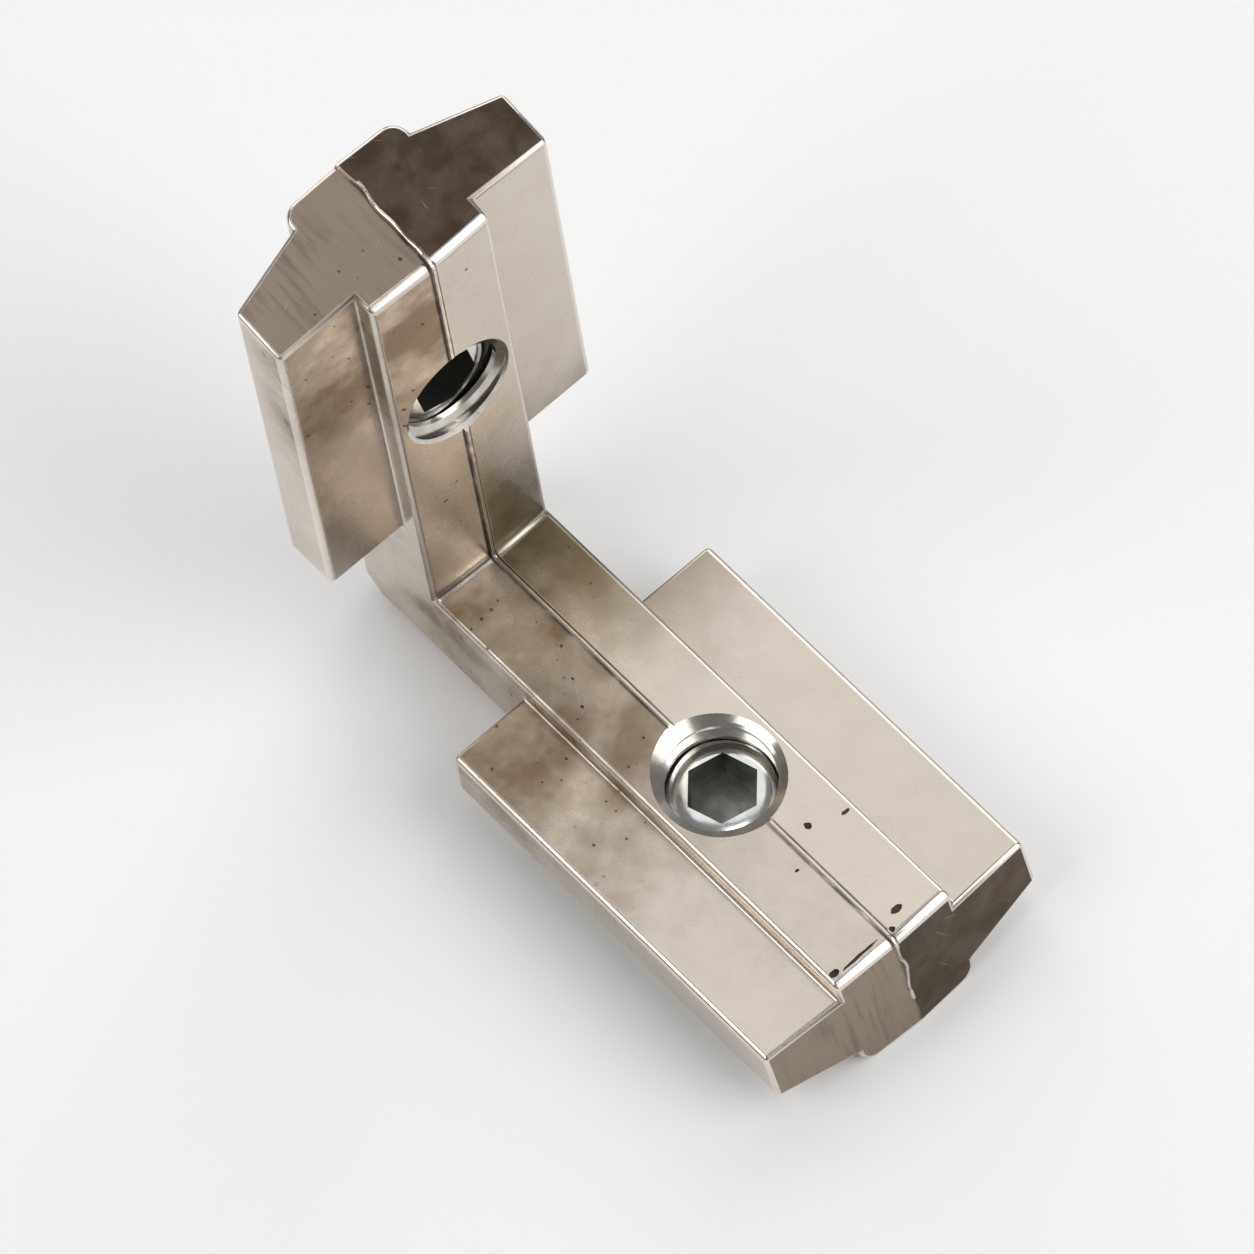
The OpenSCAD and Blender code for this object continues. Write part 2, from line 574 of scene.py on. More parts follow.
casting.data.materials.append(nickel)
print("materials on the casting:", [material.name for material in casting.data.materials])

# %% [markdown]
# ## The tapped holes
# Each hole is countersunk with a flat cone of 120 degrees and then tapped right through, which leaves
# bright metal on the cone and on the thread that starts just below its rim. The upright thread starts a
# little nearer to the mouth, because its screw can rise as far as the face. Both holes are worked in a
# frame at the mouth, with the axis pointing out of the inner face, so that the second is the first turned.

# %% Countersink and tap both arms
thread_major = 3.0 * MM
thread_minor = 2.5 * MM
mouth_radius = 3.15 * MM
cone_radius = 2.4 * MM
cone_slope = math.tan(math.radians(30))
lower_thread_top = -0.3 * MM
upright_thread_top = -0.2 * MM
tool_over = 1.0 * MM

lower_mouth = Matrix.Translation(knee + Vector((hole_from_knee, 0, 0)))
quarter_turn = Matrix.Rotation(math.tau / 4, 4, "Y")
upright_mouth = Matrix.Translation(knee + Vector((0, 0, hole_from_knee))) @ quarter_turn
for mouth, thread_top in ((lower_mouth, lower_thread_top), (upright_mouth, upright_thread_top)):
    low = (cone_radius - mouth_radius) * cone_slope
    high = tool_over * cone_slope
    countersink = turned([(0, low), (cone_radius, low), (mouth_radius + tool_over, high), (0, high)])
    work(casting, countersink, "DIFFERENCE", [tapped_metal], mouth)
    tap = threaded_rod(thread_major, thread_minor, -arm_depth - tool_over, thread_top)
    work(casting, tap, "DIFFERENCE", [tapped_metal], mouth)
print("casting with both holes:", len(casting.data.polygons), "faces")

# %% [markdown]
# ## Pits and a cold fold
# Gas in the melt leaves small pits where the metal froze last, and dirt collects in them. Behind the end
# edge of the lower arm a fold of cold metal left a fine groove. All of them are flattened balls that are
# cut out together, a little dented so that no two look alike. A fixed seed repeats the same dents in every
# run. The groove is a ball that is drawn out long, so it runs out softly at both ends.

# %% Cut the pits and the groove
lower_pits = [
    (19.3, 1.05, 0.19, 0.17),
    (19.9, 2.7, 0.10, 0.22),
    (24.9, 1.1, 0.16, 0.32),
    (25.5, 0.32, 0.14, 0.15),
    (25.3, -2.85, 0.16, 0.26),
    (25.45, -1.5, 0.08, 1.05),
    (20.6, -0.75, 0.07, 0.11),
    (6.9, -1.5, 0.10, 0.07),
    (5.4, -0.8, 0.06, 0.09),
    (8.2, -2.1, 0.08, 0.06),
]
upright_pits = [(7.2, -1.7, 0.07, 0.13), (8.1, -1.0, 0.06, 0.08), (23.6, 1.6, 0.06, 0.09)]
dent_depth = 0.04 * MM
dent_length = 0.14 * MM
dent_seed = 5
noise.seed_set(dent_seed)


def pit_tool(pits, way, left_level):
    """Flattened balls: distance from the knee, from the parting plane, and half sizes in mm."""
    tool = bmesh.new()
    for along, across, half_along, half_across in pits:
        level = -abs(across) * math.tan(draft) * MM + (left_level if across < 0 else 0)
        place = Matrix.Translation((way * along * MM, across * MM, level))
        tilt = Matrix.Rotation(-math.copysign(draft, across), 4, "X")
        sizes = Vector((half_along, half_across, min(half_along, half_across))) * MM
        shaped = place @ tilt @ Matrix.Diagonal((*sizes, 1))
        bmesh.ops.create_uvsphere(tool, u_segments=20, v_segments=10, radius=1, matrix=shaped)
    for vert in tool.verts:
        vert.co += noise.noise_vector(vert.co / dent_length) * dent_depth
    return tool


at_knee = Matrix.Translation(knee)
work(casting, pit_tool(lower_pits, 1, half_shift), "DIFFERENCE", [pit_shade_and_dirt], at_knee)
work(casting, pit_tool(upright_pits, -1, -half_shift), "DIFFERENCE", [pit_shade_and_dirt], at_knee @ quarter_turn)
print("pits:", len(lower_pits) + len(upright_pits), "and", len(casting.data.polygons), "faces")

# %% [markdown]
# ## The set screws
# A set screw is a headless screw: a bit of threaded rod with a rounded edge at its top, a hexagon socket
# for the key, and a cup point that bites. The rod is intersected with a turned blank, which gives it both
# ends, and the socket is punched last. The top of the blank and the punch are drawn first.

# %% Draw the rounded top and the punch
screw_radius = 2.95 * MM
screw_crown = 0.42 * MM
crown_start = 1.4 * MM
crown_steps = 8
socket_across = 3 * MM
socket_depth = 2 * MM


def crowned_top(top, wide):
    """The rounded line from the outside of the blank up to the flat round the socket."""
    curve = []
    for number in range(crown_steps + 1):
        radius = wide + (crown_start - wide) * number / crown_steps
        fall = (radius - crown_start) / (screw_radius - crown_start)
        curve.append((radius, top - screw_crown * fall * fall))
    return curve


def hexagon_punch(top, socket_turn):
    """The punch that leaves the socket; half of it stands above the screw."""
    corner_radius = socket_across / 2 / math.cos(math.radians(30))
    turn_about_axis = Matrix.Rotation(math.radians(30 + socket_turn), 4, "Z")
    punch = bmesh.new()
    bmesh.ops.create_cone(
        punch,
        cap_ends=True,
        segments=6,
        radius1=corner_radius,
        radius2=corner_radius,
        depth=2 * socket_depth,
        matrix=Matrix.Translation((0, 0, top)) @ turn_about_axis,
    )
    return punch


print("the crown falls", screw_crown / MM, "mm, the socket is", socket_depth / MM, "mm deep")

# %% [markdown]
# Both screws are made alike in the frame of their hole's mouth, and then carried to their place. The blank
# is a little wider than the thread, so that only its two ends cut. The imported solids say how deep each
# screw sits, and each socket has stopped at a turn of its own.

# %% Make both set screws
screw_root = 2.4 * MM
screw_length = 4 * MM
cup_radius = 1.5 * MM
cup_depth = 0.6 * MM
blank_over = 0.1 * MM
lower_socket_turn = 17
upright_socket_turn = 8


def set_screw(name, bottom, socket_turn, place):
    """A set screw with its tip at this level in the frame of its hole."""
    wide = screw_radius + blank_over
    top = bottom + screw_length
    point = [(0, bottom + cup_depth), (cup_radius, bottom), (wide, bottom + wide - cup_radius)]
    screw = new_object(name, threaded_rod(screw_radius, screw_root, bottom - pitch, top + pitch))
    screw.data.materials.append(bright_steel)
    work(screw, turned(point + crowned_top(top, wide) + [(0, top)]), "INTERSECT", [bright_steel])
    work(screw, hexagon_punch(top, socket_turn), "DIFFERENCE", [socket_shade_steel])
    screw.data.transform(place)
    return screw


lower_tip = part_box("set_screw_horizontal")[0].z - knee.z
upright_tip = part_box("set_screw_vertical")[0].x - knee.x
lower_screw = set_screw("horizontal_set_screw", lower_tip, lower_socket_turn, lower_mouth)
upright_screw = set_screw("vertical_set_screw", upright_tip, upright_socket_turn, upright_mouth)
for screw in (lower_screw, upright_screw):
    print(screw.name, len(screw.data.polygons), "faces,", len(screw.data.materials), "materials")

# %% [markdown]
# ## Which piece moves with what
# Every piece takes the place of one solid and rides on that solid's body. Weighted normals keep the flat
# faces flat where they run into rounded edges, and the border between two finishes stays a crisp line.

# %% Tie the pieces to the frame
sharp_angle = math.radians(35)


def sharpen_borders(piece):
    """Marks every edge between two materials as sharp."""
    mesh = bmesh.new()
    mesh.from_mesh(piece.data)
    for edge in mesh.edges:
        if len({face.material_index for face in edge.link_faces}) > 1:
            edge.smooth = False
    mesh.to_mesh(piece.data)
    mesh.free()


pieces = (
    (casting, "bracket_body", "bracket", "nickel_plated_casting"),
    (lower_screw, "set_screw_horizontal", "horizontal_screw", "bright_zinc_steel"),
    (upright_screw, "set_screw_vertical", "vertical_screw", "bright_zinc_steel"),
)
for piece, node_name, body_name, slot_name in pieces:
    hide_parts(node_name)
    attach(piece, body_name)
    piece.data.shade_smooth()
    piece.data.set_sharp_from_angle(angle=sharp_angle)
    sharpen_borders(piece)
    normals = piece.modifiers.new("flat faces stay flat", "WEIGHTED_NORMAL")
    normals.keep_sharp = True
    print(piece.name, "rides on", body_name)

# %% [markdown]
# ## Where hands reach, and where shade is painted
# Handling polishes what stands out, and hollow corners are painted darker, as painted shade with dirt in
# it.
# The mesh itself knows both: round a worn edge the faces bend outwards, in a corner they bend inwards. Only
# narrow faces between two bends are marked, those of edges, fillets and the parting line, so that the flat
# faces beside them stay clean. The end faces are marked too, so that they can be painted dark as shade.

# %% Mark edges, corners and end faces
narrow_face = 0.15 * MM
full_bend = 0.6
least_bend = 0.02
flat_on_end = 0.992
end_normals = [
    Vector((math.cos(end_slope), 0, math.sin(end_slope))),
    Vector((math.sin(end_slope), 0, math.cos(end_slope))),
]


def mark_faces(piece):
    """Gives every face corner three numbers: worn, grime and end_face."""
    mesh = bmesh.new()
    mesh.from_mesh(piece.data)
    worn = mesh.loops.layers.float.new("worn")
    hollow_shade_and_dirt = mesh.loops.layers.float.new("hollow_shade_and_dirt")
    end_face = mesh.loops.layers.float.new("end_face")
    bends = {vert: sum(edge.calc_face_angle_signed(0) for edge in vert.link_edges) for vert in mesh.verts}
    for face in mesh.faces:
        long_sides = sorted(face.edges, key=bmesh.types.BMEdge.calc_length)[-2:]
        between_bends = all(abs(edge.calc_face_angle_signed(0)) > least_bend for edge in long_sides)
        narrow = face.calc_area() < narrow_face * long_sides[1].calc_length()
        at_end = any(face.normal.dot(normal) > flat_on_end for normal in end_normals)
        for loop in face.loops:
            bend = bends[loop.vert] / full_bend if narrow and between_bends else 0
            loop[worn] = clip(bend)
            loop[hollow_shade_and_dirt] = clip(-bend)
            loop[end_face] = 1.0 if at_end else 0.0
    mesh.to_mesh(piece.data)
    mesh.free()


for piece in (casting, lower_screw, upright_screw):
    mark_faces(piece)
    worn_corners = sum(corner.value > 0 for corner in piece.data.attributes["worn"].data)
    print(piece.name, "has", worn_corners, "worn face corners")

# %% [markdown]
# ## Helpers for materials
# A material is a tree of nodes. These helpers add one node at a time and link it by plain names, so that
# the cells below read like a recipe.

# %% Add nodes and link them
def plug(tree, socket, value):
    """Links a socket to another one, or sets it to a plain value."""
    if isinstance(value, bpy.types.NodeSocket):
        tree.links.new(value, socket)
    else:
        socket.default_value = value


def node(tree, kind, settings=None, **sockets):
    """Adds a node, sets its options, and sets or links its inputs by name."""
    made = tree.nodes.new(kind)
    for option, value in (settings or {}).items():
        setattr(made, option, value)
    for name, value in sockets.items():
        plug(tree, made.inputs[name.replace("_", " ")], value)
    return made


def marked(tree, name):
    """One of the numbers that the mesh carries."""
    return node(tree, "ShaderNodeAttribute", {"attribute_name": name}).outputs["Fac"]


print("node helpers are ready")

# %% [markdown]
# Masks are made of sums and products of numbers and of soft fades between two values. A mask then decides
# how far one colour turns into another.

# %% Sums, fades and blends
def sums(tree, operation, *values):
    """One Math node."""
    made = node(tree, "ShaderNodeMath", {"operation": operation})
    for socket, value in zip(made.inputs, values):
        plug(tree, socket, value)
    return made.outputs[0]


def times(tree, *values):
    """The product of all the values."""
    result = values[0]
    for value in values[1:]:
        result = sums(tree, "MULTIPLY", result, value)
    return result


def total(tree, *values):
    """The sum of all the values."""
    result = values[0]
    for value in values[1:]:
        result = sums(tree, "ADD", result, value)
    return result


def fade(tree, value, start, end):
    """0 at start, 1 at end, with soft ends."""
    made = node(tree, "ShaderNodeMapRange", {"interpolation_type": "SMOOTHSTEP"}, Value=value)
    plug(tree, made.inputs["From Min"], start)
    plug(tree, made.inputs["From Max"], end)
    return made.outputs["Result"]


def blend(tree, share, first, second):
    """One colour turning into another."""
    made = node(tree, "ShaderNodeMix", {"data_type": "RGBA"})
    plug(tree, made.inputs["Factor"], share)
    plug(tree, made.inputs[6], first)
    plug(tree, made.inputs[7], second)
    return made.outputs[2]


print("mask and colour helpers are ready")

# %% [markdown]
# ## Effects that several metals share
# Each effect is a node group with its own named inputs, built once and placed in every metal that shows it.
# Scratches and specks lie in the surface, so they need flat coordinates. Adding some of the height to both
# gives every face of the part, level or upright, a pattern of its own without any seams to hide.

# %% Make and place node groups
def new_group(name, inputs, output):
    """A shader node group with number inputs and one number output."""
    group = bpy.data.node_groups.new(name, "ShaderNodeTree")
    for socket, value in inputs.items():
        made = group.interface.new_socket(socket, in_out="INPUT", socket_type="NodeSocketFloat")
        made.default_value = value
    group.interface.new_socket(output, in_out="OUTPUT", socket_type="NodeSocketFloat")
    result = group.nodes.new("NodeGroupOutput").inputs[output]
    return group, group.nodes.new("NodeGroupInput").outputs, result


def use_group(tree, group, **values):
    """Places a group in a material and gives back its output."""
    made = node(tree, "ShaderNodeGroup", {"node_tree": group})
    for name, value in values.items():
        plug(tree, made.inputs[name], value)
    return made.outputs[0]


def flat_place(tree):
    """Two coordinates in metres that no face of the part squeezes to a line."""
    place = node(tree, "ShaderNodeSeparateXYZ", Vector=node(tree, "ShaderNodeTexCoord").outputs["Object"])
    first = sums(tree, "MULTIPLY_ADD", place.outputs["Z"], 0.6, place.outputs["X"])
    second = sums(tree, "MULTIPLY_ADD", place.outputs["Z"], 0.5, place.outputs["Y"])
    return node(tree, "ShaderNodeCombineXYZ", X=first, Y=second).outputs["Vector"]


print("group helpers are ready")

# %% [markdown]
# Tarnish lies in soft clouds: nickel turns brown where it is thin or damp. A noise in space, so that it
# runs on round every edge, is pulled apart into light and dark.

# %% Clouds of tarnish
clouds, given, result = new_group("tarnish_clouds", {"Scale": 300, "Seed": 0}, "Cloud")
field = node(
    clouds,
    "ShaderNodeTexNoise",
    {"noise_dimensions": "4D"},
    Vector=node(clouds, "ShaderNodeTexCoord").outputs["Object"],
    Scale=given["Scale"],
    W=given["Seed"],
    Detail=4.0,
    Roughness=0.55,
    Distortion=0.4,
)
plug(clouds, result, fade(clouds, field.outputs["Fac"], 0.32, 0.68))
print(clouds.name, "has", len(clouds.nodes), "nodes")

# %% [markdown]
# Scratches are short and straight, and they run in a few directions. Cells that are stretched long each
# hold one stroke in their middle, and a random number for each cell makes some strokes strong and leaves
# others out.

# %% Fine scratches
stroke_sizes = {"Spacing": 0.0007, "Length": 0.012, "Width": 0.03}
scratches, given, result = new_group("fine_scratches", stroke_sizes, "Scratch")
strokes = []
for turn_angle in (20, -38, 74):
    stretched = node(
        scratches,
        "ShaderNodeMapping",
        {"vector_type": "TEXTURE"},
        Vector=flat_place(scratches),
    )
    stretched.inputs["Rotation"].default_value = (0, 0, math.radians(turn_angle))
    cell = node(scratches, "ShaderNodeCombineXYZ", X=given["Spacing"], Y=given["Length"], Z=1.0)
    plug(scratches, stretched.inputs["Scale"], cell.outputs["Vector"])
    cells = node(
        scratches,
        "ShaderNodeTexVoronoi",
        {"voronoi_dimensions": "2D"},
        Vector=stretched.outputs["Vector"],
        Scale=1.0,
    )
    stroke = fade(scratches, cells.outputs["Distance"], given["Width"], 0)
    chance = node(scratches, "ShaderNodeSeparateColor", Color=cells.outputs["Color"]).outputs["Red"]
    strokes.append(times(scratches, stroke, fade(scratches, chance, 0.35, 0.95)))
plug(scratches, result, sums(scratches, "MAXIMUM", sums(scratches, "MAXIMUM", *strokes[:2]), strokes[2]))
print(scratches.name, "has", len(scratches.nodes), "nodes")

# %% [markdown]
# Specks are spots where the plating has failed. They are round, of unlike sizes, and only some cells hold
# one.

# %% Dark specks
specks, given, result = new_group("dark_specks", {"Scale": 1600, "Share": 0.3}, "Speck")
cells = node(
    specks,
    "ShaderNodeTexVoronoi",
    {"voronoi_dimensions": "2D"},
    Vector=flat_place(specks),
    Scale=given["Scale"],
)
chance = node(specks, "ShaderNodeSeparateColor", Color=cells.outputs["Color"])
radius = sums(specks, "MULTIPLY_ADD", chance.outputs["Green"], 0.14, 0.05)
spot = fade(specks, cells.outputs["Distance"], radius, sums(specks, "MULTIPLY", radius, 0.4))
chosen = sums(specks, "LESS_THAN", chance.outputs["Red"], given["Share"])
plug(specks, result, times(specks, spot, chosen))
print(specks.name, "has", len(specks.nodes), "nodes")

# %% [markdown]
# No metal skin is a perfect mirror. A fine grain and slow waves, together one height, tilt the reflections
# a little. Castings have more of both than turned steel.

# %% Grain and waves of the skin
grain, given, result = new_group("skin_grain", {"Scale": 2500, "Waves": 4}, "Height")
place = node(grain, "ShaderNodeTexCoord").outputs["Object"]
wave_scale = times(grain, given["Scale"], 0.13)
fine = node(grain, "ShaderNodeTexNoise", Vector=place, Scale=given["Scale"], Detail=3.0)
slow = node(grain, "ShaderNodeTexNoise", Vector=place, Scale=wave_scale, Detail=1.0)
plug(grain, result, sums(grain, "MULTIPLY_ADD", slow.outputs["Fac"], given["Waves"], fine.outputs["Fac"]))
print(grain.name, "has", len(grain.nodes), "nodes")

# %% [markdown]
# ## The nickel skin
# Nickel over a casting is a warm, satin metal. It is painted darker brown round the knee, as painted shade
# with clouds of tarnish in it, and on the inner faces of the shifted half: on the lower arm up to the hole,
# on the upright arm towards the end, where the brown is painted shade of that half with tarnish in it. All
# of this is placed by the distance from the knee, measured along an arm, and by the depth below the inner
# face.

# %% Where a point lies on the arms
nickel.use_nodes = True
tree = nickel.node_tree
place = node(tree, "ShaderNodeSeparateXYZ", Vector=node(tree, "ShaderNodeTexCoord").outputs["Object"])
from_knee_x = sums(tree, "SUBTRACT", place.outputs["X"], knee.x)
from_knee_z = sums(tree, "SUBTRACT", place.outputs["Z"], knee.z)
along = sums(tree, "MAXIMUM", from_knee_x, from_knee_z)
depth = sums(tree, "MINIMUM", from_knee_x, from_knee_z)
across = place.outputs["Y"]
left_half = fade(tree, across, 0.05 * MM, -0.2 * MM)
right_half = sums(tree, "SUBTRACT", 1, left_half)
upright = fade(tree, sums(tree, "SUBTRACT", from_knee_z, from_knee_x), -1 * MM, 1 * MM)
lower = sums(tree, "SUBTRACT", 1, upright)
near_knee = fade(tree, along, 14 * MM, 2 * MM)
before_hole = times(tree, lower, fade(tree, along, 20 * MM, 12 * MM))
after_hole = times(tree, upright, fade(tree, along, 10 * MM, 22 * MM))
inner_side = fade(tree, depth, -4 * MM, -1.5 * MM)
print("the skin's places use", len(tree.nodes), "nodes")

# %% [markdown]
# Painted shade and tarnish come first, as a share from 0 to 1 that blends light nickel into brown. The
# other side of the knee is darker still, as painted shade with a green tinge.

# %% Painted shade and tarnish
light_nickel = (0.68, 0.61, 0.535, 1)
shade_and_tarnish_brown = (0.26, 0.195, 0.13, 1)
green_shade_colour = (0.12, 0.096, 0.05, 1)

broad = use_group(tree, clouds, Scale=190.0, Seed=1.0)
small = use_group(tree, clouds, Scale=700.0, Seed=4.0)
# Painted shade: the left half and the knee are darkened as shade, and the clouds in it are tarnish.
left_half_shade = times(tree, left_half, inner_side, total(tree, times(tree, before_hole, 0.65), after_hole))
knee_shade = times(tree, near_knee, sums(tree, "MULTIPLY_ADD", upright, -0.2, 0.42))
reach = total(tree, knee_shade, left_half_shade, 0.1)
shade_and_tarnish = times(tree, reach, total(tree, times(tree, broad, 0.75), times(tree, small, 0.3), 0.15))
skin = blend(tree, shade_and_tarnish, light_nickel, shade_and_tarnish_brown)
# Painted shade: the right half near the knee is darkened to a green-brown, mottled by the patches.
patches = use_group(tree, clouds, Scale=260.0, Seed=9.0)
knee_corner_shade = times(tree, right_half, inner_side, fade(tree, along, 9.5 * MM, 2 * MM))
green = times(tree, knee_corner_shade, sums(tree, "MULTIPLY_ADD", patches, 0.35, 0.6))
skin = blend(tree, green, skin, green_shade_colour)
print("the skin's tarnish brings it to", len(tree.nodes), "nodes")

# %% [markdown]
# The end faces are painted dark as shade, and one half of the casting darker still as painted shadow, while
# the other half is streaked as if a file had been drawn over it. The streaks are a noise that is squeezed
# across the arm and drawn out along its depth.

# %% End faces
left_end_shade = (0.30, 0.245, 0.19, 1)
right_end_shadow = (0.075, 0.054, 0.037, 1)
pale_cloud = (0.40, 0.33, 0.26, 1)
dark_streak = (0.11, 0.086, 0.062, 1)

# Painted shade on the end faces: the right half is painted much darker than the left.
shaded_end_skin = blend(tree, right_half, left_end_shade, right_end_shadow)
shaded_end_skin = blend(tree, times(tree, small, 0.15), shaded_end_skin, pale_cloud)
drawn_out = node(tree, "ShaderNodeCombineXYZ", X=across, Y=times(tree, depth, 0.12), Z=upright)
field = node(
    tree,
    "ShaderNodeTexNoise",
    Vector=drawn_out.outputs["Vector"],
    Scale=2600.0,
    Detail=3.0,
)
streaks = times(tree, fade(tree, field.outputs["Fac"], 0.45, 0.68), left_half, broad, 0.6)
shaded_end_skin = blend(tree, streaks, shaded_end_skin, dark_streak)
end_face = marked(tree, "end_face")
skin = blend(tree, end_face, skin, shaded_end_skin)
print("the end faces bring it to", len(tree.nodes), "nodes")

# %% [markdown]
# Then come the marks of use: specks where the plating failed, fine scratches and edges rubbed bright. With
# them come painted shade, with dirt in it, in the hollow corners, and painted shadow in the gutters of the
# parting line. The gutter on the shifted half gets more of that painted shadow.

# %% Marks of use, painted shade and painted shadow
speck = times(tree, use_group(tree, specks, Scale=1500.0, Share=0.3), fade(tree, shade_and_tarnish, 0.25, 0.6))
scratch = use_group(tree, scratches, Spacing=0.0007, Length=0.012, Width=0.03)
worn = marked(tree, "worn")
# Painted shadow along the gutters of the parting line, stronger on the shifted half.
from_left_gutter = sums(tree, "ABSOLUTE", sums(tree, "ADD", across, gutter_off))
from_right_gutter = sums(tree, "ABSOLUTE", sums(tree, "SUBTRACT", across, gutter_off))
left_line = fade(tree, from_left_gutter, 0.13 * MM, 0.03 * MM)
right_line = times(tree, fade(tree, from_right_gutter, 0.09 * MM, 0.03 * MM), 0.35)
off_end = sums(tree, "SUBTRACT", 1, end_face)
gutter_shadow = times(tree, total(tree, left_line, right_line), inner_side, off_end)
# Painted shade with dirt in the hollow corners, and painted shadow in the gutters, in one mask.
hollow = sums(tree, "MAXIMUM", marked(tree, "hollow_shade_and_dirt"), gutter_shadow)
hollow_shade_and_dirt = times(tree, hollow, sums(tree, "MULTIPLY_ADD", small, 0.35, 0.65))
print("the marks of use bring it to", len(tree.nodes), "nodes")

# %% [markdown]
# Each mark has its colour, laid over the one before. It also changes how rough the skin is, and the grain
# tilts its reflections.

# %% Colour, gloss and grain of the skin
dark_speck = (0.07, 0.055, 0.04, 1)
bright_scratch = (0.78, 0.72, 0.65, 1)
rubbed_edge = (0.82, 0.76, 0.69, 1)
shade_and_dirt_black = (0.06, 0.045, 0.032, 1)
clean_roughness = 0.21
grain_depth = 0.012 * MM

for mask, strength, colour in (
    (speck, 0.8, dark_speck),
    (scratch, 0.3, bright_scratch),
    (worn, 0.6, rubbed_edge),
    (hollow_shade_and_dirt, 0.92, shade_and_dirt_black),
):
    skin = blend(tree, times(tree, mask, strength), skin, colour)
shader = tree.nodes["Principled BSDF"]
shader.inputs["Metallic"].default_value = 1
plug(tree, shader.inputs["Base Color"], skin)
duller = total(tree, times(tree, shade_and_tarnish, 0.14), times(tree, small, 0.06), times(tree, end_face, 0.12))
marks = total(tree, times(tree, speck, 0.3), times(tree, hollow_shade_and_dirt, 0.2), times(tree, worn, -0.05))
plug(tree, shader.inputs["Roughness"], total(tree, clean_roughness, duller, marks))
height = use_group(tree, grain, Scale=2400.0, Waves=4.0)
bump = node(tree, "ShaderNodeBump", Height=height, Strength=0.5, Distance=grain_depth)
plug(tree, shader.inputs["Normal"], bump.outputs["Normal"])
print("the finished skin has", len(tree.nodes), "nodes")

# %% [markdown]
# ## Bare and plated steel
# The tap leaves scraped, bright metal in the holes. The screws are plated steel, shinier still, while the
# punched sockets are painted dark, as painted shade with oil in it; hollow corners of all three get painted
# shade with oil too. They share one recipe with different values: a light and a dark tone, how rough the
# clean metal is, and how many of its cells hold a speck.

# %% Thread, screw and socket
steel_shade_and_oil = (0.05, 0.045, 0.04, 1)
steel_speck = (0.1, 0.09, 0.08, 1)
tool_grain_depth = 0.01 * MM

for metal, light, dark, roughness, share in (
    (tapped_metal, (0.70, 0.665, 0.615, 1), (0.40, 0.36, 0.31, 1), 0.15, 0.12),
    (bright_steel, (0.80, 0.80, 0.80, 1), (0.66, 0.65, 0.64, 1), 0.10, 0.04),
    # Painted shade: the socket steel has dark tones for the shade inside the socket, with oil in it.
    (socket_shade_steel, (0.25, 0.26, 0.23, 1), (0.09, 0.095, 0.08, 1), 0.34, 0.1),
):
    metal.use_nodes = True
    tree = metal.node_tree
    shader = tree.nodes["Principled BSDF"]
    shader.inputs["Metallic"].default_value = 1
    film = use_group(tree, clouds, Scale=900.0, Seed=7.0)
    scratch = use_group(tree, scratches, Spacing=0.0004, Length=0.006, Width=0.04)
    speck = use_group(tree, specks, Scale=2600.0, Share=share)
    colour = blend(tree, times(tree, film, 0.6), light, dark)
    # Painted shade with oil in the hollow corners.
    colour = blend(tree, times(tree, marked(tree, "hollow_shade_and_dirt"), 0.6), colour, steel_shade_and_oil)
    colour = blend(tree, times(tree, speck, 0.5), colour, steel_speck)
    plug(tree, shader.inputs["Base Color"], colour)
    haze = total(tree, times(tree, film, 0.08), times(tree, scratch, 0.15), times(tree, speck, 0.2))
    plug(tree, shader.inputs["Roughness"], sums(tree, "ADD", haze, roughness))
    height = use_group(tree, grain, Scale=3000.0, Waves=1.5)
    bump = node(tree, "ShaderNodeBump", Height=height, Strength=0.3, Distance=tool_grain_depth)
    plug(tree, shader.inputs["Normal"], bump.outputs["Normal"])
    print(metal.name, "has", len(tree.nodes), "nodes")

# %% [markdown]
# Pits are painted nearly black: painted shade in the hollow, with old polish and dirt in it, which is dull.

# %% Dirt in the pits
pit_black = (0.03, 0.021, 0.014, 1)
pit_brown = (0.10, 0.073, 0.048, 1)

pit_shade_and_dirt.use_nodes = True
tree = pit_shade_and_dirt.node_tree
shader = tree.nodes["Principled BSDF"]
crust = use_group(tree, clouds, Scale=2500.0, Seed=3.0)
# Painted shade inside the pits, with dirt in it.
plug(tree, shader.inputs["Base Color"], blend(tree, crust, pit_black, pit_brown))
plug(tree, shader.inputs["Roughness"], sums(tree, "MULTIPLY_ADD", crust, 0.2, 0.6))
print(pit_shade_and_dirt.name, "has", len(tree.nodes), "nodes")

# %% [markdown]
# ## Floor and room
# The part stands on a pale, dull floor in a dim room. The room's grey is what the metal shows where it
# mirrors no lamp, which gives it its dark tones.

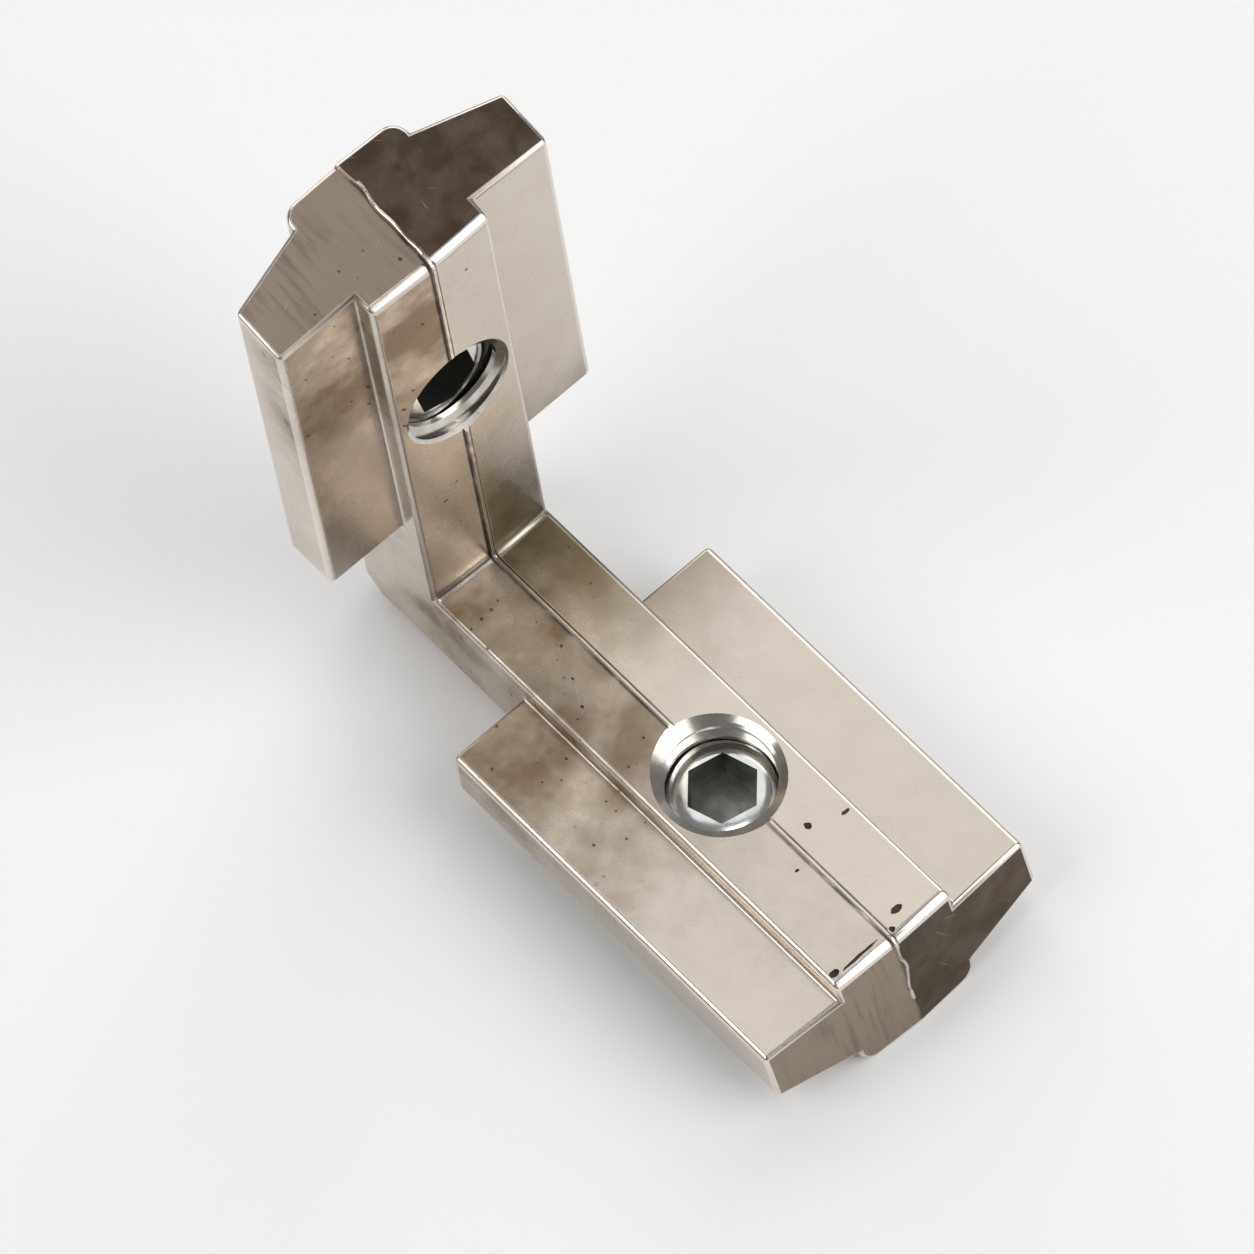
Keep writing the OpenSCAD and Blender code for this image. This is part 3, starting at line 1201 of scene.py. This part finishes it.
# %% Lay the floor and dim the room
floor_half = 3.0
floor_white = (0.93, 0.93, 0.93, 1)
room_grey = (0.22, 0.22, 0.22, 1)

ground = bmesh.new()
bmesh.ops.create_grid(ground, x_segments=1, y_segments=1, size=floor_half)
floor = new_object("floor", ground)
pale = bpy.data.materials.new("pale_floor")
pale.use_nodes = True
shader = pale.node_tree.nodes["Principled BSDF"]
shader.inputs["Base Color"].default_value = floor_white
shader.inputs["Roughness"].default_value = 0.8
floor.data.materials.append(pale)

world = bpy.data.worlds.new("studio")
world.use_nodes = True
world.node_tree.nodes["Background"].inputs["Color"].default_value = room_grey
bpy.context.scene.world = world
print("floor is", 2 * floor_half, "m wide")

# %% [markdown]
# ## Light
# Metal shows what surrounds it, so the lights are placed by what each face mirrors towards the camera. One
# soft light behind fills the level faces. One on the right draws the bright lines along the end edges and
# the knee. Two large ones on either side of the camera show in the countersinks and light the floor, and
# two smaller ones far behind put bright patches on the rounded screws. One overhead catches one half of
# the upper end face.

# %% Hang the lights
def softbox(name, direction, distance, size, brightness):
    """A square lamp that faces the part; brightness is what a mirror would show."""
    data = bpy.data.lights.new(name, "AREA")
    data.shape = "SQUARE"
    data.size = size
    data.energy = brightness * math.pi * size * size
    lamp = bpy.data.objects.new(name, data)
    place = Vector(direction).normalized() * distance
    lamp.matrix_world = Matrix.Translation(place) @ place.to_track_quat("Z", "Y").to_matrix().to_4x4()
    bpy.context.scene.collection.objects.link(lamp)
    print(name, "from", [round(value, 2) for value in place], "m")


softbox("back_softbox", (-0.38, 0.29, 0.88), 0.6, 0.34, 0.8)
softbox("right_softbox", (0.86, 0.30, 0.37), 0.8, 0.5, 2.2)
softbox("front_right_softbox", (0.56, 0.40, 0.73), 0.9, 0.6, 2.3)
softbox("front_left_softbox", (-0.20, -0.66, 0.72), 0.9, 0.6, 2.3)
softbox("far_left_softbox", (-0.80, 0.18, 0.57), 0.8, 0.42, 1.7)
softbox("far_right_softbox", (-0.40, 0.71, 0.58), 0.8, 0.42, 1.7)
softbox("top_softbox", (0.03, 0.07, 1.0), 0.8, 0.15, 3.0)
